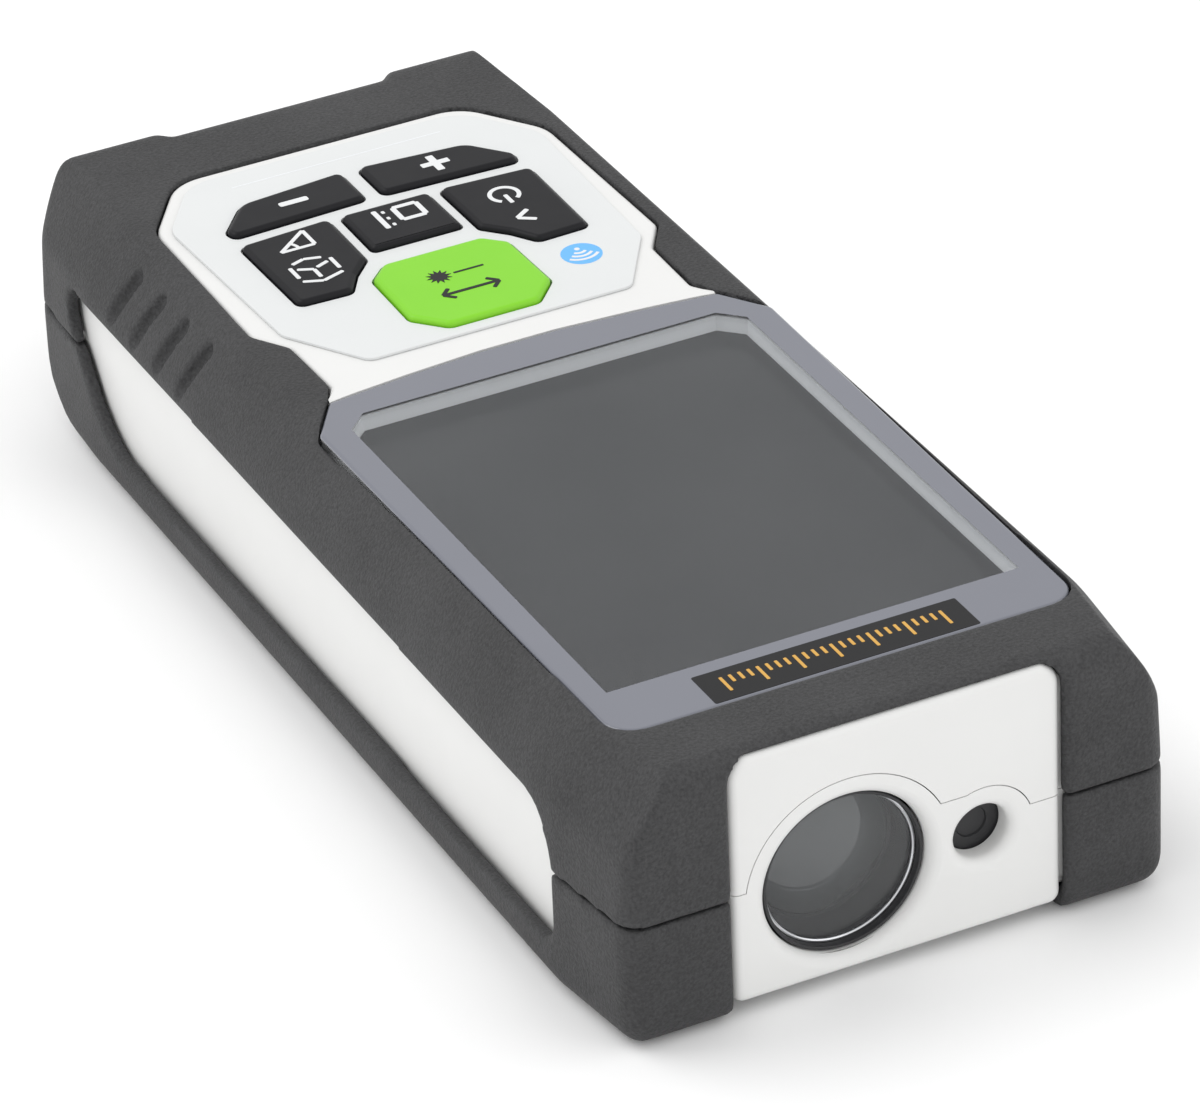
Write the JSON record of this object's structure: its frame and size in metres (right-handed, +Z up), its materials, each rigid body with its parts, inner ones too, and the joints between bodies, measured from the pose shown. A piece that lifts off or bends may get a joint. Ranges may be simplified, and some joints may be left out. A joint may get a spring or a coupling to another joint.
{
  "type": "laser distance meter",
  "caption": "Hand-held laser distance meter with a large display, a keypad, rubber bumpers round a white housing, a receiving lens and a laser outlet at the front end.",
  "frame": {"origin": "middle of the base's bounding box, where the rubber meets the table", "axes": "+Z up out of the display, +Y from the lens end to the rear, +X to the right when facing the lens end"},
  "size_m": [0.0574, 0.132, 0.0284],
  "materials": {
    "white_shell": "satin white moulded housing",
    "black_rubber": "soft matte bumper with fine grain",
    "dark_plastic": "matte dark grey moulding",
    "door_plastic": "matte dark grey moulding",
    "window_clear": "clear cover with a grey border printed behind it",
    "lcd_face": "dark display glass",
    "frame_plastic": "pale grey light frame",
    "keypad_film": "satin printed film",
    "key_dark": "satin dark key cap",
    "key_green": "satin bright green key cap",
    "mat_rubber": "silicone",
    "circuit_board": "green solder resist",
    "bright_steel": "bright plated steel",
    "lens_glass": "coated lens",
    "brass": "turned brass",
    "cell_sleeve": "plain printed sleeve",
    "gasket_rubber": "silicone cord"
  },
  "bodies": {
    "housing": {"lower_housing": "white_shell", "upper_housing": "white_shell", "lower_bumper": "black_rubber", "upper_bumper": "black_rubber", "housing_screw_1": "bright_steel", "housing_screw_2": "bright_steel", "housing_screw_3": "bright_steel", "housing_screw_4": "bright_steel", "display_window": "window_clear", "lcd_frame": "frame_plastic", "lcd_module": "lcd_face", "keypad_film": "keypad_film", "key_mat": "mat_rubber", "main_board": "circuit_board", "detector_board": "circuit_board", "radio_module": "bright_steel", "buzzer": "dark_plastic", "board_screw_1": "bright_steel", "board_screw_2": "bright_steel", "optics_carrier": "dark_plastic", "lens_barrel": "dark_plastic", "lens_ring": "bright_steel", "receiver_lens": "lens_glass", "laser_window": "lens_glass", "laser_module": "brass", "battery_tray": "dark_plastic", "battery_1": "cell_sleeve", "battery_2": "cell_sleeve", "battery_3": "cell_sleeve", "battery_spring_1": "bright_steel", "battery_spring_2": "bright_steel", "battery_spring_3": "bright_steel", "battery_contact_1": "bright_steel", "battery_contact_2": "bright_steel", "battery_contact_3": "bright_steel"},
    "key_plus_body": {"key_plus": "key_dark"},
    "key_minus_body": {"key_minus": "key_dark"},
    "key_clear_off_body": {"key_clear_off": "key_dark"},
    "key_angle_body": {"key_angle": "key_dark"},
    "key_reference_body": {"key_reference": "key_dark"},
    "key_measure_body": {"key_measure": "key_green"},
    "battery_door_body": {"battery_door": "door_plastic", "door_gasket": "gasket_rubber"}
  },
  "joints": [
    {"name": "key_plus_press", "type": "slide", "parent": "housing", "child": "key_plus_body", "axis": [0, 0, -1], "range_m": [0, 0.0004], "stiffness_N_per_m": 400},
    {"name": "key_minus_press", "type": "slide", "parent": "housing", "child": "key_minus_body", "axis": [0, 0, -1], "range_m": [0, 0.0004], "stiffness_N_per_m": 400},
    {"name": "key_clear_off_press", "type": "slide", "parent": "housing", "child": "key_clear_off_body", "axis": [0, 0, -1], "range_m": [0, 0.0004], "stiffness_N_per_m": 400},
    {"name": "key_angle_press", "type": "slide", "parent": "housing", "child": "key_angle_body", "axis": [0, 0, -1], "range_m": [0, 0.0004], "stiffness_N_per_m": 400},
    {"name": "key_reference_press", "type": "slide", "parent": "housing", "child": "key_reference_body", "axis": [0, 0, -1], "range_m": [0, 0.0004], "stiffness_N_per_m": 400},
    {"name": "key_measure_press", "type": "slide", "parent": "housing", "child": "key_measure_body", "axis": [0, 0, -1], "range_m": [0, 0.0004], "stiffness_N_per_m": 400},
    {"name": "battery_door_hinge", "type": "hinge", "parent": "housing", "child": "battery_door_body", "pos_m": [0, 0.0026, 0.0009], "axis": [-1, 0, 0], "range_deg": [0, 95]}
  ]
}
